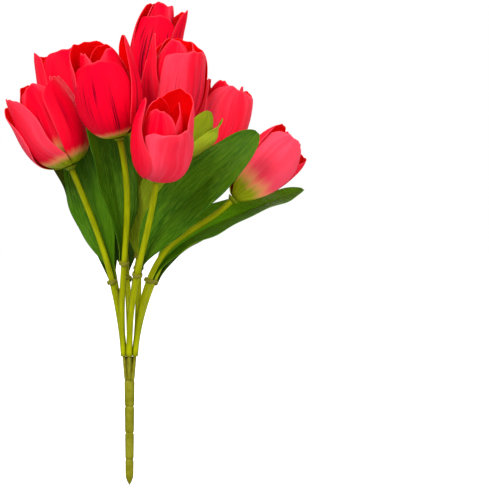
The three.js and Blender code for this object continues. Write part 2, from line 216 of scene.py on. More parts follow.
class Petal(NamedTuple):
    """A petal: sway in degrees, and its length, taper, flare, curl, drawn-in end and paleness as shares. The
    paleness is partly the petal's own coral colour and partly painted sheen.
    """
    sway: float = 0
    length: float = 1
    taper: float = 0
    flare: float = 0
    curl: float = 0
    finger: float = 0
    pale: float = 0


class Flower(NamedTuple):
    """A flower of the bouquet, from its stem to its petals' colours."""
    # Head: girth, turn of its outer petals in degrees, and the petals
    girth: float
    turn: float
    petals: tuple
    # Leaf: where it heads for, and where its upper side looks
    aim: tuple
    face: tuple
    # How high the green of the petals' foot reaches, and how strong their dark streaks are
    green: float
    streaks: float
    # Handles of the stem's curve at its foot and its top, as shares of its reach
    bow: tuple = (0.4, 0.35)
    # Fullness of the head's foot, depth of the notches there, and which edge of a petal lies on top
    fullness: float = 1
    notch: float = 0.24
    over: int = 1
    # Turn of the inner petals from the outer ones, their length and their taper
    inner: tuple = (60, 1, 0.12)
    # Leaf: twist in degrees, bluntness, length, and painted light: the share of a brighter green that
    # lightens a leaf lying in shade
    twist: float = 0
    blunt: float = 1.6
    long: float = 1
    tone: float = 0


FLOWERS = [
    Flower(
        girth=1.03, turn=75, notch=0.1, inner=(25, 1, 0.12),
        petals=(
            Petal(taper=-0.15, pale=-0.1),
            Petal(sway=40, length=0.86, taper=0.2, flare=0.4, curl=0.2, pale=0.4),
            Petal(sway=-38, length=0.97, taper=0.15, flare=0.2, curl=0.1, pale=0.32),
        ),
        aim=(-0.84, 0.4, 0.92), face=(-0.62, -1, 0.08), tone=0.15, green=0.28, streaks=0.5,
    ),
    Flower(
        girth=0.95, turn=25, inner=(60, 0.95, 0.12),
        petals=(
            Petal(taper=-0.1, flare=0.12, pale=-0.05),
            Petal(flare=0.12),
            Petal(sway=-12, length=1.05, taper=-0.2, flare=0.06, curl=0.15),
        ),
        aim=(-1.15, 0.87, 0.72), face=(0.75, -0.65, 0.45), green=0.15, streaks=0.3,
    ),
    Flower(
        girth=1, turn=-15, over=-1,
        petals=(
            Petal(length=0.93, taper=-0.1, flare=-0.03, pale=-0.2),
            Petal(sway=-4, length=1.1, flare=0.06, curl=0.1, finger=0.35, pale=-0.1),
            Petal(length=1.1, taper=-0.05, flare=0.06),
        ),
        aim=(-0.5, -0.35, 0.915), face=(1, -0.55, 0), twist=-45, green=0.24, streaks=1.1,
    ),
    Flower(
        girth=0.8, turn=-15, inner=(0, 0.97, -0.25),
        petals=(
            Petal(length=0.82, taper=-0.15, flare=-0.04, pale=-0.25),
            Petal(length=0.97, taper=0.1, flare=0.1, curl=0.06, pale=-0.15),
            Petal(taper=-0.1, flare=-0.12, pale=-0.1),
        ),
        aim=(0.14, 0.15, 0.915), face=(-0.2, 1, 0.1), green=0.15, streaks=1.8,
    ),
    Flower(
        girth=1, turn=50, over=-1,
        petals=(
            Petal(length=0.92, taper=-0.22, flare=0.06, curl=0.04, pale=0.38),
            Petal(flare=0.12, curl=0.06, pale=0.1),
            Petal(length=1.03, taper=0.12, flare=-0.15, curl=0.25, finger=0.58, pale=0.1),
        ),
        aim=(1.13, -0.72, 0.88), face=(-0.2, 1, -0.2), blunt=1.15, long=0.9, tone=0.25,
        green=0.15, streaks=0.7,
    ),
    Flower(
        girth=0.92, turn=15, inner=(90, 0.88, 0.12),
        petals=(
            Petal(sway=22, length=0.68, taper=-0.2, flare=0.08, curl=0.12, pale=0.55),
            Petal(flare=0.06, pale=0.3),
            Petal(sway=38, taper=0.05, flare=0.02, curl=-0.15, finger=0.6),
        ),
        aim=(1.92, -0.84, 0.845), face=(-0.2, -1, 0.3), blunt=2.4, green=0.07, streaks=0.15,
    ),
    Flower(
        girth=0.9, turn=25,
        petals=(
            Petal(length=0.97, flare=0.12, curl=0.06, pale=0.45),
            Petal(flare=0.12, pale=0.3),
            Petal(taper=0.2, pale=0.3),
        ),
        aim=(1.65, 1.05, 0.508), face=(-0.55, -0.55, 0.6), green=0.15, streaks=0.4,
    ),
    Flower(
        girth=0.95, turn=0,
        petals=(
            Petal(flare=0.18, pale=0.3),
            Petal(taper=0.1, flare=0.18, pale=0.3),
            Petal(flare=0.18, pale=0.3),
        ),
        aim=(-0.16, 2.1, 0.583), face=(0, -0.6, 0.8), green=0.18, streaks=0.5,
    ),
    Flower(
        bow=(0.72, 0.34), girth=0.7, fullness=0.3, turn=0, inner=(60, 0.95, 0.12),
        petals=(
            Petal(length=0.95, taper=-0.1, flare=0.06, pale=0.8),
            Petal(length=0.9, flare=0.18, curl=0.06),
            Petal(flare=0.06, pale=0.1),
        ),
        aim=(2.38, 0.47, 0.6), face=(-0.33, -0.58, 0.66), blunt=1.2, tone=0.6, green=0.46, streaks=0.1,
    ),
]

joints = {joint["name"]: joint for joint in frame["joints"]}


def place(joint_name):
    """Position of a joint in millimetres, and its axis."""
    joint = joints[joint_name]
    return np.array(joint["pos_m"]) / MM, np.array(joint["axis"], float)


def unit(vector):
    return vector / np.linalg.norm(vector)


def smooth(low, high, value):
    """Smooth step from 0 at low to 1 at high."""
    share = np.clip((value - low) / (high - low), 0, 1)
    return share * share * (3 - 2 * share)


def bezier(points, share):
    """Points of a cubic curve, and its unit slopes, at an array of shares."""
    a, b, c, d = (np.asarray(point, float) for point in points)
    t = np.asarray(share, float)[..., None]
    at = (1 - t) ** 3 * a + 3 * (1 - t) ** 2 * t * b + 3 * (1 - t) * t ** 2 * c + t ** 3 * d
    slope = (1 - t) ** 2 * (b - a) + 2 * (1 - t) * t * (c - b) + t ** 2 * (d - c)
    return at, slope / np.linalg.norm(slope, axis=-1, keepdims=True)


def facing_front(axis):
    """Turn that carries +Z to the axis and keeps -Y to the front, as a matrix."""
    across = unit(np.cross(axis, (0, -1, 0)))
    return np.column_stack([across, np.cross(axis, across), axis])


def stub_root(foot):
    """Lower end of the stub under a stem's foot."""
    return np.array([foot[0] * STUB_ROOT_SHARE, foot[1] * STUB_ROOT_SHARE, TRUNK_HEIGHT - STUB_ROOT_DEPTH])


class Piece:
    """A mesh in the making: points in millimetres, faces with a material number, and a map of u and v."""

    def __init__(self):
        self.points, self.faces, self.materials, self.map = [], [], [], []
        self.extra = {}
        self.count = 0

    def add(self, points, faces, material, uv, **extra):
        """Adds points and faces. Extra values are kept per point, and are 0 where a later part has none."""
        self.points.append(np.asarray(points, float).reshape(-1, 3))
        self.map.append(np.asarray(uv, float).reshape(-1, 2))
        number = len(self.points[-1])
        self.faces.extend([[index + self.count for index in face] for face in faces])
        self.materials.extend([material] * len(faces) if np.isscalar(material) else material)
        for name in [*self.extra, *(name for name in extra if name not in self.extra)]:
            values = np.asarray(extra.get(name, 0), float).ravel()
            self.extra.setdefault(name, []).append(np.broadcast_to(values, number))
        self.count += number

    def finish(self, name, materials):
        mesh = bpy.data.meshes.new(name)
        mesh.from_pydata((np.concatenate(self.points) * MM).tolist(), [], self.faces)
        for material in materials:
            mesh.materials.append(material)
        mesh.polygons.foreach_set("material_index", self.materials)
        mesh.polygons.foreach_set("use_smooth", [True] * len(self.faces))
        layer = mesh.uv_layers.new(name="surface")
        corners = np.zeros(len(mesh.loops), int)
        mesh.loops.foreach_get("vertex_index", corners)
        layer.data.foreach_set("uv", np.concatenate(self.map)[corners].ravel())
        for key, values in self.extra.items():
            attribute = mesh.attributes.new(key, "FLOAT", "POINT")
            attribute.data.foreach_set("value", np.concatenate(values))
        mesh.update()
        made = bpy.data.objects.new(name, mesh)
        bpy.context.scene.collection.objects.link(made)
        return made


def grid_faces(rows, columns, start=0, turned=False):
    """Quads of a grid of points, rows by columns, numbered row by row."""
    faces = []
    for row in range(rows - 1):
        for column in range(columns - 1):
            a = start + row * columns + column
            face = [a, a + 1, a + columns + 1, a + columns]
            faces.append(face[::-1] if turned else face)
    return faces


def grid_map(s, v):
    """Map of a sheet: u from 0 to 1 across it, and v along it."""
    return np.stack(np.broadcast_arrays((s + 1) / 2, v), axis=-1)


def shell(piece, grid, thickness, uv, front, back, **extra):
    """Adds a closed sheet over a grid of points, thinner at its rim. Front and back are its materials."""
    rows, columns = grid.shape[:2]
    along = np.gradient(grid, axis=0)
    across = np.gradient(grid, axis=1)
    normal = np.cross(across, along)
    normal /= np.linalg.norm(normal, axis=-1, keepdims=True) + 1e-12
    edge = np.ones((rows, columns))
    edge[:, [0, -1]] = RIM_SHARE
    edge[-1, :] = RIM_SHARE
    offset = 0.5 * thickness * normal * edge[..., None]
    layer = rows * columns
    faces = grid_faces(rows, columns)
    faces += grid_faces(rows, columns, layer, turned=True)
    materials = [front] * ((rows - 1) * (columns - 1)) + [back] * ((rows - 1) * (columns - 1))
    border = list(range(columns))
    border += [row * columns + columns - 1 for row in range(1, rows)]
    border += [(rows - 1) * columns + column for column in range(columns - 2, -1, -1)]
    border += [row * columns for row in range(rows - 2, 0, -1)]
    for first, second in zip(border, border[1:] + border[:1]):
        faces.append([second, first, first + layer, second + layer])
        materials.append(front)
    points = np.concatenate([(grid + offset).reshape(-1, 3), (grid - offset).reshape(-1, 3)])
    doubled = {
        name: np.tile(np.broadcast_to(values, (rows, columns)).ravel(), 2) for name, values in extra.items()
    }
    piece.add(points, faces, materials, np.tile(uv.reshape(-1, 2), (2, 1)), **doubled)


def ring_faces(rings, sides, turned=False):
    """Quads between rings of points, each ring closed on itself."""
    faces = []
    for ring in range(rings - 1):
        for side in range(sides):
            a = ring * sides + side
            b = ring * sides + (side + 1) % sides
            face = [a, b, b + sides, a + sides]
            faces.append(face[::-1] if turned else face)
    return faces


def lathe(piece, outline, sides, material, turn=np.eye(3), at=np.zeros(3)):
    """Adds a body of revolution about Z from a list of (radius, height)."""
    angle = 2 * np.pi * np.arange(sides) / sides
    points = np.array([[[r * np.cos(a), r * np.sin(a), h] for a in angle] for r, h in outline])
    lengths = np.cumsum([0] + [math.dist(p, q) for p, q in zip(outline, outline[1:])])
    uv = np.array([[[side / sides, length] for side in range(sides)] for length in lengths])
    piece.add(points.reshape(-1, 3) @ turn.T + at, ring_faces(len(outline), sides), material, uv)


def tube(piece, path, slopes, radii, sides, material, turned=False):
    """Adds a round skin along a path, with a radius at each point."""
    side = unit(np.cross(slopes[0], (0.3, 1, 0.2)))
    angle = 2 * np.pi * np.arange(sides) / sides
    rings = []
    for point, slope, radius in zip(path, slopes, radii):
        side = unit(side - slope * np.dot(side, slope))
        other = np.cross(slope, side)
        rings.append(point + radius * (np.outer(np.cos(angle), side) + np.outer(np.sin(angle), other)))
    run = np.cumsum([0] + [np.linalg.norm(q - p) for p, q in zip(path, path[1:])])
    uv = np.array([[[number / sides, length] for number in range(sides)] for length in run])
    piece.add(np.array(rings), ring_faces(len(path), sides, turned), material, uv)


class Graph:
    """Nodes of one material, with short ways to add them."""

    def __init__(self, name):
        self.material = bpy.data.materials.new(name)
        self.material.use_nodes = True
        self.tree = self.material.node_tree
        self.shader = self.tree.nodes["Principled BSDF"]

    def node(self, kind, **settings):
        made = self.tree.nodes.new(kind)
        for name, value in settings.items():
            setattr(made, name, value)
        return made

    def put(self, socket, value):
        """Links a socket, or sets a constant on it."""
        if isinstance(value, bpy.types.NodeSocket):
            self.tree.links.new(value, socket)
        else:
            socket.default_value = value

    def math(self, operation, first, second=0.0):
        made = self.node("ShaderNodeMath", operation=operation)
        self.put(made.inputs[0], first)
        self.put(made.inputs[1], second)
        return made.outputs[0]

    def ease(self, value, low, high, start=0.0, end=1.0):
        """Smooth step of a value between low and high, from start to end."""
        made = self.node("ShaderNodeMapRange", interpolation_type="SMOOTHSTEP")
        for socket, given in zip(made.inputs, (value, low, high, start, end)):
            self.put(socket, given)
        return made.outputs[0]

    def mix(self, share, first, second):
        """Blend of two colours. Counted from 0, a colour's sockets are inputs 6 and 7 and output 2."""
        made = self.node("ShaderNodeMix", data_type="RGBA")
        self.put(made.inputs[0], share)
        self.put(made.inputs[6], first)
        self.put(made.inputs[7], second)
        return made.outputs[2]

    def surface(self):
        """The map's u and v."""
        parts = self.node("ShaderNodeSeparateXYZ")
        self.put(parts.inputs[0], self.node("ShaderNodeUVMap", uv_map="surface").outputs[0])
        return parts.outputs[0], parts.outputs[1]

    def attribute(self, name):
        return self.node("ShaderNodeAttribute", attribute_name=name).outputs["Fac"]

    def vector(self, x, y, z=0.0):
        made = self.node("ShaderNodeCombineXYZ")
        for socket, value in zip(made.inputs, (x, y, z)):
            self.put(socket, value)
        return made.outputs[0]

    def noise(self, vector, scale=1.0, detail=3.0):
        made = self.node("ShaderNodeTexNoise")
        self.put(made.inputs["Vector"], vector)
        self.put(made.inputs["Scale"], scale)
        self.put(made.inputs["Detail"], detail)
        return made.outputs["Fac"]

    def sheet_noise(self, u, v, across, along, seed, detail=3.0):
        """Noise on a petal or a leaf, as so many grains across it and along it."""
        grains = self.vector(self.math("MULTIPLY", u, across), self.math("MULTIPLY", v, along), seed)
        return self.noise(grains, detail=detail)

    def bump(self, height, distance, strength):
        made = self.node("ShaderNodeBump")
        self.put(made.inputs["Height"], height)
        self.put(made.inputs["Distance"], distance)
        self.put(made.inputs["Strength"], strength)
        self.put(self.shader.inputs["Normal"], made.outputs[0])

    def set(self, **values):
        """Sets inputs of the shader by name, with _ for a space."""
        for name, value in values.items():
            self.put(self.shader.inputs[name.replace("_", " ")], value)


def colour(red, green, blue):
    """A colour given as 0 to 255 on a screen, for a node."""
    linear = [((c / 255 + 0.055) / 1.055) ** 2.4 if c > 10 else c / 255 / 12.92 for c in (red, green, blue)]
    return (*linear, 1)


def petal_back():
    """Outside of a petal: red with paler edges, a painted highlight along the rim, dark streaks low down,
    yellow-green at the foot.
    """
    g = Graph("petal_back")
    u, v = g.surface()
    seed = g.attribute("seed")
    fine = g.sheet_noise(u, v, 70, 1.4, seed)
    thread = g.sheet_noise(u, v, 90, 0.6, seed, detail=5.0)
    broad = g.sheet_noise(u, v, 9, 1.3, seed)
    patch = g.sheet_noise(u, v, 6, 0.8, seed, detail=1.0)
    side = g.math("ABSOLUTE", g.math("SUBTRACT", g.math("MULTIPLY", u, 2), 1))
    # Paleness towards coral: partly the petal's own colour, partly painted sheen, set per petal and paler at
    # the sides
    pale = g.math("ADD", g.attribute("pale"), g.ease(side, 0.15, 1, -0.1, 0.25))
    pale = g.math("ADD", pale, g.ease(broad, 0.4, 0.65, -0.1, 0.1))
    red = g.mix(g.ease(pale, 0, 1), colour(244, 0, 40), colour(255, 74, 98))
    lines = g.math("ADD", g.ease(thread, 0.53, 0.61, 0, 0.8), g.ease(broad, 0.42, 0.62, 0, 0.22))
    lines = g.math("MULTIPLY", lines, g.ease(patch, 0.44, 0.58, 0.2, 1))
    lines = g.math("MULTIPLY", lines, g.ease(v, 0.6, 1, 1, 0.1))
    lines = g.math("MULTIPLY", lines, g.attribute("streaks"))
    red = g.mix(g.math("MINIMUM", lines, 0.9), red, colour(74, 0, 24))
    # Painted highlight: a pale line along the petal's side edges and its end
    rim = g.math("MAXIMUM", g.ease(side, 0.955, 1), g.ease(v, 0.975, 1))
    red = g.mix(g.math("MULTIPLY", rim, 0.22), red, colour(255, 100, 110))
    foot = g.math("ADD", g.attribute("foot"), g.ease(broad, 0.3, 0.7, -0.06, 0.06))
    green = g.mix(g.ease(fine, 0.35, 0.7), colour(164, 174, 20), colour(122, 134, 10))
    base = g.mix(g.ease(foot, 0.15, 0.55), red, colour(244, 150, 96))
    base = g.mix(g.ease(foot, 0.4, 0.8), base, green)
    g.set(Base_Color=base, Roughness=g.ease(fine, 0.3, 0.7, 0.45, 0.58))
    g.set(Subsurface_Weight=0.15, Subsurface_Radius=(1.0, 0.12, 0.12), Subsurface_Scale=0.003)
    g.set(Specular_IOR_Level=0.03)
    g.bump(g.math("ADD", fine, g.math("MULTIPLY", broad, 0.6)), 0.00025, 0.5)
    return g.material


def petal_face():
    """Inside of a petal: deep red, with painted shade darkening it towards the foot, which is green."""
    g = Graph("petal_face")
    u, v = g.surface()
    fine = g.sheet_noise(u, v, 50, 2, g.attribute("seed"))
    # Painted shade: the red darkens towards the foot, deep in the cup
    red = g.mix(g.ease(v, 0.05, 0.5), colour(146, 0, 2), colour(240, 0, 6))
    red = g.mix(g.ease(fine, 0.52, 0.75, 0, 0.3), red, colour(170, 0, 8))
    red = g.mix(g.ease(v, 0.1, 0.22, 1, 0), red, colour(132, 146, 20))
    g.set(Base_Color=red, Roughness=0.5, Specular_IOR_Level=0.06)
    g.set(Subsurface_Weight=0.4, Subsurface_Radius=(1.0, 0.1, 0.08), Subsurface_Scale=0.004)
    g.bump(fine, 0.0002, 0.5)
    return g.material


def leaf_material(name, dark, light, vein, painted_light_green, gloss):
    """One side of a leaf: fine parallel veins over a mottled green, a midrib, and painted light as a
    brighter green.
    """
    g = Graph(name)
    u, v = g.surface()
    seed = g.attribute("seed")
    fine = g.sheet_noise(u, v, 60, 1.6, seed)
    grain = g.sheet_noise(u, v, 44, 18, seed, detail=4.0)
    broad = g.sheet_noise(u, v, 5, 2.5, seed)
    lines = g.math("SINE", g.math("MULTIPLY", u, 120))
    green = g.mix(g.ease(broad, 0.35, 0.68), dark, light)
    green = g.mix(g.ease(fine, 0.48, 0.75, 0, 0.5), green, vein)
    green = g.mix(g.ease(grain, 0.44, 0.66, 0, 0.55), green, vein)
    # Painted light: a brighter green, mixed in by a share set per leaf, lightens leaves that lie in shade
    green = g.mix(g.attribute("tone"), green, painted_light_green)
    middle = g.math("ABSOLUTE", g.math("SUBTRACT", u, 0.5))
    green = g.mix(g.ease(middle, 0.004, 0.016, 0.45, 0), green, dark)
    g.set(Base_Color=green, Roughness=g.ease(fine, 0.3, 0.7, gloss, gloss + 0.12))
    g.set(Subsurface_Weight=0.06, Subsurface_Radius=(0.4, 1.0, 0.1), Subsurface_Scale=0.0015)
    g.set(Specular_IOR_Level=0.08)
    relief = g.math("ADD", fine, g.math("MULTIPLY", grain, 0.6))
    g.bump(g.math("ADD", g.math("MULTIPLY", lines, 0.25), relief), 0.0004, 0.7)
    return g.material


def plastic(name, first, second, stretch, roughness, grain):
    """Moulded plastic with two tones, mottled along the piece."""
    g = Graph(name)
    u, v = g.surface()
    turn = g.math("MULTIPLY", u, 2 * math.pi)
    round_about = g.vector(g.math("SINE", turn), g.math("COSINE", turn), g.math("MULTIPLY", v, stretch))
    broad = g.noise(round_about, 1.5, 4)
    fine = g.noise(round_about, 9, 4)
    g.set(Base_Color=g.mix(g.ease(broad, 0.35, 0.65), first, second))
    g.set(Roughness=g.ease(fine, 0.3, 0.7, roughness, roughness + 0.12), Specular_IOR_Level=0.06)
    g.bump(fine, grain, 0.6)
    return g.material


def trunk_plastic():
    """Khaki moulded plastic with upright fibres."""
    g = Graph("trunk_plastic")
    coordinates = g.node("ShaderNodeTexCoord").outputs["Object"]
    stretch = g.node("ShaderNodeMapping")
    stretch.inputs["Scale"].default_value = (900, 900, 110)
    g.put(stretch.inputs["Vector"], coordinates)
    fibre = g.noise(stretch.outputs[0], 1, 4)
    mottle = g.noise(coordinates, 220, 3)
    khaki = g.mix(g.ease(mottle, 0.35, 0.65), colour(120, 118, 8), colour(138, 136, 30))
    khaki = g.mix(g.ease(fibre, 0.5, 0.75, 0, 0.5), khaki, colour(98, 98, 12))
    g.set(Base_Color=khaki, Roughness=g.ease(fibre, 0.3, 0.7, 0.45, 0.6), Specular_IOR_Level=0.1)
    g.bump(fibre, 0.0003, 0.5)
    return g.material


def wire_steel():
    """Drawn steel wire, with fine lines along it."""
    g = Graph("wire_steel")
    stretch = g.node("ShaderNodeMapping")
    stretch.inputs["Scale"].default_value = (3000, 3000, 60)
    g.put(stretch.inputs["Vector"], g.node("ShaderNodeTexCoord").outputs["Object"])
    lines = g.noise(stretch.outputs[0], 1, 2)
    g.set(Base_Color=g.mix(lines, colour(120, 122, 125), colour(165, 167, 170)))
    g.set(Metallic=1.0, Roughness=g.ease(lines, 0.3, 0.7, 0.25, 0.45))
    return g.material


PETAL_BACK = petal_back()
PETAL_FACE = petal_face()
# The last green of each side is painted light, mixed in where a leaf lies in shade
LEAF_UPPER = leaf_material(
    "leaf_upper", colour(40, 84, 0), colour(62, 104, 0), colour(92, 128, 18), colour(98, 160, 0), 0.34,
)
LEAF_UNDER = leaf_material(
    "leaf_under", colour(108, 126, 0), colour(128, 148, 6), colour(150, 170, 36), colour(168, 192, 40), 0.42,
)
STEM_PLASTIC = plastic("stem_plastic", colour(138, 144, 0), colour(162, 168, 0), 0.05, 0.32, 0.0001)
COLLAR_PLASTIC = plastic("collar_plastic", colour(112, 110, 16), colour(132, 130, 42), 0.4, 0.4, 0.0001)
HUB_PLASTIC = plastic("hub_plastic", colour(112, 128, 14), colour(136, 150, 26), 0.3, 0.4, 0.0001)
STAMEN_PLASTIC = plastic("stamen_plastic", colour(92, 96, 22), colour(128, 130, 40), 0.6, 0.55, 0.0002)
TRUNK_PLASTIC = trunk_plastic()
WIRE_STEEL = wire_steel()


def dress(piece, body, node):
    """Sets a piece on a body, in place of a solid."""
    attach(piece, body)
    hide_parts(node)


def petal_half(v, petal, depth):
    """Half the angle that a petal spans, from a full foot through a notch and a belly to its tip."""
    notch = depth * np.sin(np.pi * np.minimum(v / NOTCH_HEIGHT, 1))
    belly = PETAL_BELLY - petal.taper
    tip = np.maximum(0, v - belly) / (PETAL_END - belly)
    foot = (FOOT_HALF_ANGLE - PETAL_HALF_ANGLE) * (1 - smooth(0, FOOT_SHARE, v))
    drawn_in = 1 - petal.finger * smooth(FINGER_START, FINGER_END, v)
    return foot + PETAL_HALF_ANGLE * (np.sqrt(1 - tip ** PETAL_ROUNDNESS) * drawn_in - notch)


def petal_grid(petal, flower, base, cup, length, tip_radius, random):
    """Points of one petal that looks along +X, with the waves of a hand-pressed sheet."""
    v = (0.5 - 0.5 * np.cos(np.pi * np.linspace(0, 1, PETAL_ROWS)))[:, None]
    s = np.linspace(-1, 1, PETAL_COLUMNS)[None, :]
    full = flower.fullness
    belly = (8 * cup - HUB_RADIUS * (4 - 3 * full) - tip_radius) / (3 + 3 * full)
    root = HUB_RADIUS + full * (belly - HUB_RADIUS)
    shoulder = base + PETAL_SHOULDER * length
    profile, slope = bezier(
        [(HUB_RADIUS, base), (root, base), (belly, shoulder), (tip_radius, base + length)], v[:, 0],
    )
    out, up = slope[:, :1], slope[:, 1:]
    half = petal_half(v, petal, flower.notch)
    across = s * half / PETAL_HALF_ANGLE
    lap = flower.over * PETAL_LAP * s * (HUB_LAP + (1 - HUB_LAP) * np.clip(4 * v, 0, 1))
    lap = lap * smooth(0, 0.25, 1 - v)
    phase = random.uniform(0, 2 * np.pi, 6)
    swell = SWELL_BROAD * np.sin(2.2 * across + 3 * v + phase[0])
    swell = swell + SWELL_FINE * np.sin(5 * across - 2 * v + phase[1])
    ripple = RIPPLE * np.sin(9 * v + phase[2] + 2 * across) * np.abs(s) ** 3 * smooth(0, 0.3, 1 - v)
    lip = LIP_BROAD * np.sin(3 * across + phase[3]) + LIP_FINE * np.sin(7 * across + phase[4])
    lip = lip * smooth(0.7, 1, v)
    crease = -CREASE * np.exp(-(s / CREASE_WIDTH) ** 2) * smooth(0.05, 0.3, v) * (1 - smooth(0.75, 1, v))
    lifted = lap + smooth(0.1, 0.35, v) * (swell + ripple + lip) + crease
    lifted = lifted + petal.curl * TIP_RADIUS * smooth(CURL_START, 1, v) ** CURL_POWER
    radius = profile[:, :1] + up * lifted
    height = profile[:, 1:] - out * lifted
    end = END_BROAD * np.sin(5 * across + phase[5]) - END_FINE * np.cos(14 * across)
    height = height + end * smooth(0.75, 1, v) * tip_radius / TIP_RADIUS
    angle = s * half + math.radians(petal.sway) * smooth(0, SWAY_SHARE, v)
    grid = np.stack([radius * np.cos(angle), radius * np.sin(angle), height], axis=-1)
    return grid, grid_map(s, v), v


def whorl(name, number, petals, base, cup, tip_radius, length, first_turn, green, random):
    """Three petals round the head's axis, as one piece."""
    piece = Piece()
    flower = FLOWERS[number - 1]
    at, axis = place(f"head_{number}_turn")
    turn = facing_front(axis)
    for index, petal in enumerate(petals):
        opened = petal.flare * TIP_RADIUS
        wide = cup + FLARE_BELLY * opened
        long = length * petal.length
        grid, uv, v = petal_grid(petal, flower, base, wide, long, tip_radius + opened, random)
        spin = math.radians(first_turn + 360 / PETAL_COUNT * index)
        cosine, sine = math.cos(spin), math.sin(spin)
        spun = np.array([[cosine, -sine, 0], [sine, cosine, 0], [0, 0, 1]])
        foot = 1 - smooth(GREEN_START * green, GREEN_END * green, v)
        shell(
            piece, grid @ spun.T @ turn.T + at, PETAL_THICKNESS, uv, 0, 1,
            seed=random.uniform(0, SEED_REACH), foot=foot, pale=petal.pale, streaks=flower.streaks,
        )
    return piece.finish(name, [PETAL_BACK, PETAL_FACE])


def dress_head(number, flower):
    """Outer and inner petals of a head."""
    random = np.random.default_rng(SEED + number)
    cup = flower.girth * CUP_RADIUS
    tip = flower.girth * TIP_RADIUS
    turn = flower.turn - 90
    inner_turn, inner_length, inner_taper = flower.inner
    closed = min(0, *(petal.flare for petal in flower.petals)) * TIP_RADIUS
    outer = whorl(
        f"outer_whorl_{number}", number, flower.petals, OUTER_BASE, cup, tip,
        PETAL_LENGTH, turn, flower.green, random,
    )
    inner_petals = [Petal(length=inner_length, taper=inner_taper, pale=INNER_PALE)] * PETAL_COUNT
    inner = whorl(
        f"inner_whorl_{number}", number, inner_petals, INNER_BASE, cup - WHORL_GAP,
        tip + closed - WHORL_GAP, PETAL_LENGTH - INNER_SHORTER, turn + inner_turn,
        flower.green + INNER_GREENER, random,
    )
    dress(outer, f"head_{number}", f"outer_petals_{number}")
    dress(inner, f"head_{number}", f"inner_petals_{number}")


def dress_receptacle(number):
    """Hub under the petals with the pistil above it, and stamens round that."""
    at, axis = place(f"head_{number}_turn")
    turn = facing_front(axis)
    piece = Piece()
    lathe(piece, HUB_OUTLINE, HUB_SIDES, 0, turn, at)
    share = np.linspace(0, 1, STAMEN_STEPS)
    anther = np.clip((share - ANTHER_START) / (1 - ANTHER_START), 0, 1)
    radii = STAMEN_RADIUS + ANTHER_SWELL * np.sin(np.pi * anther)
    radii[-1] = STAMEN_POINT
    for index in range(STAMEN_COUNT):
        angle = 2 * math.pi * (index + 0.5) / STAMEN_COUNT
        direction = np.array([math.cos(angle), math.sin(angle), 0])
        foot = STAMEN_FOOT[0] * direction + (0, 0, STAMEN_FOOT[1])
        top = STAMEN_TOP[0] * direction + (0, 0, STAMEN_TOP[1])
        path, slopes = bezier([foot, foot + (0, 0, STAMEN_RISE), top - (0, 0, STAMEN_CROOK), top], share)
        tube(piece, path @ turn.T + at, slopes @ turn.T, radii, STAMEN_SIDES, 1)
    made = piece.finish(f"flower_hub_{number}", [HUB_PLASTIC, STAMEN_PLASTIC])
    dress(made, f"head_{number}", f"receptacle_{number}")


def dress_sleeve(number, flower):
    """Smooth tube along the stem, open at both ends and wider at the mouth of its foot."""
    foot, _ = place(f"stem_{number}_bend")
    top, axis = place(f"head_{number}_turn")
    reach = np.linalg.norm(top - foot)
    first, last = flower.bow
    path, slopes = bezier(
        [foot, foot + unit(foot - stub_root(foot)) * first * reach, top - axis * last * reach, top],
        np.linspace(0, 1, STEM_STEPS),
    )
    piece = Piece()
    bore = np.full(STEM_STEPS, BORE_RADIUS)
    bore[0] = BORE_MOUTH
    ends = np.concatenate([[0], np.arange(STEM_STEPS), [-1]])
    radii = np.concatenate([bore[:1], np.full(STEM_STEPS, SLEEVE_RADIUS), bore[-1:]])
    tube(piece, path[ends], slopes[ends], radii, STEM_SIDES, 0)
    tube(piece, path, slopes, bore, STEM_SIDES, 0, turned=True)
    made = piece.finish(f"stem_tube_{number}", [STEM_PLASTIC])
    dress(made, f"stem_{number}", f"stem_sleeve_{number}")


def dress_wire(number):
    """Steel on the wire's own solid, which stays as it is."""
    wire = frame["nodes"][f"stem_wire_{number}"]
    wire.data.materials.clear()
    wire.data.materials.append(WIRE_STEEL)


def blade_axes(along, look):
    """Directions across a blade and out of its upper side, along its midrib."""
    across = np.cross(along, look)
    across /= np.linalg.norm(across, axis=1, keepdims=True)
    return across, np.cross(across, along)


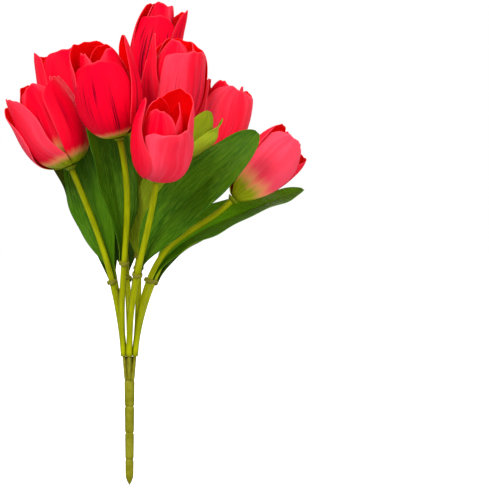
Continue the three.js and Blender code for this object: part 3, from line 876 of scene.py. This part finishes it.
def leaf_grid(aim, face, flower, random):
    """Points of a blade in the frame of its collar: trough-shaped, with a midrib and a wavy edge."""
    v = np.sin(0.5 * np.pi * np.linspace(0, 1, LEAF_ROWS))
    s = np.linspace(-1, 1, LEAF_COLUMNS)[None, :, None]
    length = flower.long * LEAF_LENGTH
    front = unit(np.array([face[0], face[1], 0]))
    start = -COLLAR_ATTACH * front
    tip = start + length * unit(aim - start)
    midrib, along = bezier([
        start,
        start + np.array([0, 0, LEAF_RISE * length]),
        start + LEAF_REACH * (tip - start) + face * LEAF_ARCH,
        tip,
    ], v)
    turned = np.radians(flower.twist) * v[:, None]
    look = (
        face * np.cos(turned) + np.cross(along, face) * np.sin(turned)
        + along * (along @ face)[:, None] * (1 - np.cos(turned))
    )
    across, normal = blade_axes(along, look)
    root = np.sin(0.5 * np.pi * np.minimum(v / LEAF_BELLY, 1)) ** LEAF_ROOT_TAPER
    end = np.sqrt(1 - (np.maximum(v - LEAF_BELLY, 0) / (LEAF_END - LEAF_BELLY)) ** flower.blunt)
    half = (0.5 * LEAF_WIDTH * np.maximum(np.minimum(root, end), LEAF_ROOT_SHARE))[:, None, None]
    phase = random.uniform(0, 2 * np.pi, 4)
    level = v[:, None, None]
    wave = np.sin(15 * level + phase[0] + np.sign(s) * phase[1])
    wave = wave + 0.6 * np.sin(27 * level + phase[2] * np.sign(s))
    wave = LEAF_WAVE * wave * np.abs(s) ** 2.5 * smooth(0.1, 0.35, level) * smooth(0, 0.15, 1 - level)
    fold = LEAF_FOLD * np.exp(-(s / LEAF_FOLD_WIDTH) ** 2)
    fold = fold * smooth(0.02, 0.2, level) * smooth(0, 0.4, 1 - level)
    lifted = LEAF_TROUGH * half * s ** 2 + wave - fold
    grid = midrib[:, None, :] + across[:, None, :] * half * s + normal[:, None, :] * lifted
    return grid, grid_map(s[..., 0], v[:, None])


def tip_grid():
    """Points of the second tip, which turns its upper side forward at its point."""
    v = np.linspace(0, 1, TIP_ROWS)
    s = np.linspace(-1, 1, TIP_COLUMNS)[None, :, None]
    spine, along = bezier(TIP_SPINE, v)
    face = np.array([0, 1, 0])
    turned = (TIP_TWIST * smooth(TIP_TWIST_START, 1, v))[:, None]
    across, normal = blade_axes(along, face * np.cos(turned) + np.cross(along, face) * np.sin(turned))
    half = (TIP_HALF_WIDTH * (1 - v ** 2) + TIP_POINT)[:, None, None]
    lifted = LEAF_TROUGH * half * s ** 2
    grid = spine[:, None, :] + across[:, None, :] * half * s + normal[:, None, :] * lifted
    return grid, grid_map(s[..., 0], v[:, None])


def dress_leaf(number, flower):
    """Leaf blade and the ring that it grows from."""
    random = np.random.default_rng(LEAF_SEED + number)
    at, axis = place(f"leaf_{number}_turn")
    turn = facing_front(axis)
    across, back, up = flower.aim
    aim = np.array([across * FLOWER_PITCH, back * FLOWER_PITCH, FOOT_HEIGHT + up * STEM_HEIGHT]) - at
    face = unit(np.array(flower.face, float))
    grid, uv = leaf_grid(turn.T @ aim, turn.T @ face, flower, random)
    piece = Piece()
    shell(
        piece, grid @ turn.T + at, LEAF_THICKNESS, uv, 0, 1,
        seed=random.uniform(0, SEED_REACH), tone=flower.tone,
    )
    if number == TIPPED_LEAF:
        grid, uv = tip_grid()
        shell(piece, grid, LEAF_THICKNESS, uv, 0, 1, seed=random.uniform(0, SEED_REACH), tone=TIP_PAINTED_LIGHT)
    middle = (COLLAR_BORE + COLLAR_RADIUS) / 2
    bead = (COLLAR_RADIUS - COLLAR_BORE) / 2
    outline = [
        (middle + bead * math.cos(a), 0.5 * COLLAR_HEIGHT * math.sin(a))
        for a in np.linspace(0, 2 * np.pi, COLLAR_STEPS)
    ]
    lathe(piece, outline, COLLAR_SIDES, 2, turn, at)
    made = piece.finish(f"leaf_blade_{number}", [LEAF_UPPER, LEAF_UNDER, COLLAR_PLASTIC])
    dress(made, f"leaf_{number}", f"leaf_{number}")


def trunk_outline():
    """Radius and height of the stake, from its point over its ring grooves to its crown."""
    outline = [(POLE_RADIUS, 0)]
    for share in np.linspace(TRUNK_TIP_START, 1, TRUNK_TIP_STEPS):
        outline.append((TRUNK_FOOT_RADIUS * math.sin(share * math.pi / 2), TRUNK_TIP_HEIGHT * share))
    for height in np.arange(TRUNK_TIP_HEIGHT + TRUNK_STEP, TRUNK_HEIGHT - CROWN_DEPTH, TRUNK_STEP):
        radius = TRUNK_FOOT_RADIUS + (TRUNK_TOP_RADIUS - TRUNK_FOOT_RADIUS) * height / TRUNK_HEIGHT
        groove = min(abs(height - count * GROOVE_PITCH) for count in range(1, GROOVE_COUNT + 1))
        dip = GROOVE_DEPTH * (0.5 + 0.5 * math.cos(math.pi * min(groove / GROOVE_HALF_WIDTH, 1)))
        outline.append((radius - dip, height))
    outline += [(TRUNK_TOP_RADIUS - inset, TRUNK_HEIGHT - drop) for inset, drop in CROWN_EDGE]
    return outline + [(POLE_RADIUS, TRUNK_HEIGHT)]


def dress_trunk():
    """Grooved stake with a fluted crown, fused from a turned body and nine tapered stubs."""
    piece = Piece()
    lathe(piece, trunk_outline(), TRUNK_SIDES, 0)
    for number in range(1, len(FLOWERS) + 1):
        foot, _ = place(f"stem_{number}_bend")
        root = stub_root(foot)
        direction = unit(foot - root)
        share = np.linspace(0, 1, STUB_STEPS)
        path = root + np.outer(share, foot - root)
        radii = STUB_ROOT_RADIUS + (STUB_RADIUS - STUB_ROOT_RADIUS) * share
        path = np.concatenate([[root], path, foot + np.outer(STUB_DOME, direction) * STUB_RADIUS])
        radii = np.concatenate([[POLE_RADIUS], radii, STUB_RADIUS * np.sqrt(1 - STUB_DOME ** 2)])
        tube(piece, path, np.tile(direction, (len(path), 1)), radii, STUB_SIDES, 0)
    made = piece.finish("trunk_stake", [TRUNK_PLASTIC])
    remesh = made.modifiers.new("fuse", "REMESH")
    remesh.mode = "VOXEL"
    remesh.voxel_size = TRUNK_VOXEL * MM
    remesh.use_smooth_shade = True
    relax = made.modifiers.new("relax", "SMOOTH")
    relax.iterations = TRUNK_RELAXES
    fused = bpy.data.meshes.new_from_object(made.evaluated_get(bpy.context.evaluated_depsgraph_get()))
    made.modifiers.clear()
    made.data = fused
    dress(made, "trunk", "trunk")


def set_floor(scene):
    """White floor that glows, so that no shadow shows on it, and that lights nothing."""
    mesh = bpy.data.meshes.new("floor")
    corners = [(-1, -1), (1, -1), (1, 1), (-1, 1)]
    mesh.from_pydata([(x * FLOOR_REACH, y * FLOOR_REACH, 0) for x, y in corners], [], [(0, 1, 2, 3)])
    floor = bpy.data.objects.new("floor", mesh)
    floor.location.z = -FLOOR_DROP
    floor.visible_diffuse = False
    floor.visible_glossy = False
    floor.visible_shadow = False
    scene.collection.objects.link(floor)
    g = Graph("floor_white")
    g.set(Base_Color=(0.85, 0.85, 0.85, 1), Roughness=0.9)
    g.set(Emission_Color=WHITE, Emission_Strength=1.0)
    mesh.materials.append(g.material)


def set_world(scene):
    """White background for the camera, with a softer light on the bouquet."""
    world = bpy.data.worlds.new("studio")
    scene.world = world
    world.use_nodes = True
    nodes = world.node_tree.nodes
    links = world.node_tree.links
    ambient = nodes["Background"]
    ambient.inputs["Color"].default_value = WHITE
    ambient.inputs["Strength"].default_value = AMBIENT
    white = nodes.new("ShaderNodeBackground")
    white.inputs["Color"].default_value = WHITE
    white.inputs["Strength"].default_value = 1.0
    blend = nodes.new("ShaderNodeMixShader")
    links.new(nodes.new("ShaderNodeLightPath").outputs["Is Camera Ray"], blend.inputs[0])
    links.new(ambient.outputs[0], blend.inputs[1])
    links.new(white.outputs[0], blend.inputs[2])
    links.new(blend.outputs[0], nodes["World Output"].inputs[0])


def set_lights(scene):
    """Soft lights, each turned to the middle of the bouquet."""
    for name, at, size, power in LIGHTS:
        light = bpy.data.lights.new(name, "AREA")
        light.size = size
        light.energy = power
        lamp = bpy.data.objects.new(name, light)
        lamp.location = at
        x, y, z = np.array(LIGHT_TARGET) - np.array(at)
        lamp.rotation_euler = (math.acos(-z / math.hypot(x, y, z)), 0, math.atan2(-x, y))
        scene.collection.objects.link(lamp)


def set_camera(scene):
    data = bpy.data.cameras.new("camera")
    data.sensor_fit = "HORIZONTAL"
    data.sensor_width = SENSOR_WIDTH
    data.lens = SENSOR_WIDTH * -CAMERA_AT[1] / FRAME_WIDTH
    camera = bpy.data.objects.new("camera", data)
    camera.location = [value * MM for value in CAMERA_AT]
    camera.rotation_euler = (math.pi / 2, 0, 0)
    scene.collection.objects.link(camera)
    scene.camera = camera


stage = bpy.context.scene
stage.view_settings.view_transform = "Standard"
set_floor(stage)
set_world(stage)
set_lights(stage)
set_camera(stage)

dress_trunk()
for flower_number, flower_details in enumerate(FLOWERS, 1):
    dress_sleeve(flower_number, flower_details)
    dress_leaf(flower_number, flower_details)
    dress_receptacle(flower_number)
    dress_head(flower_number, flower_details)
    dress_wire(flower_number)
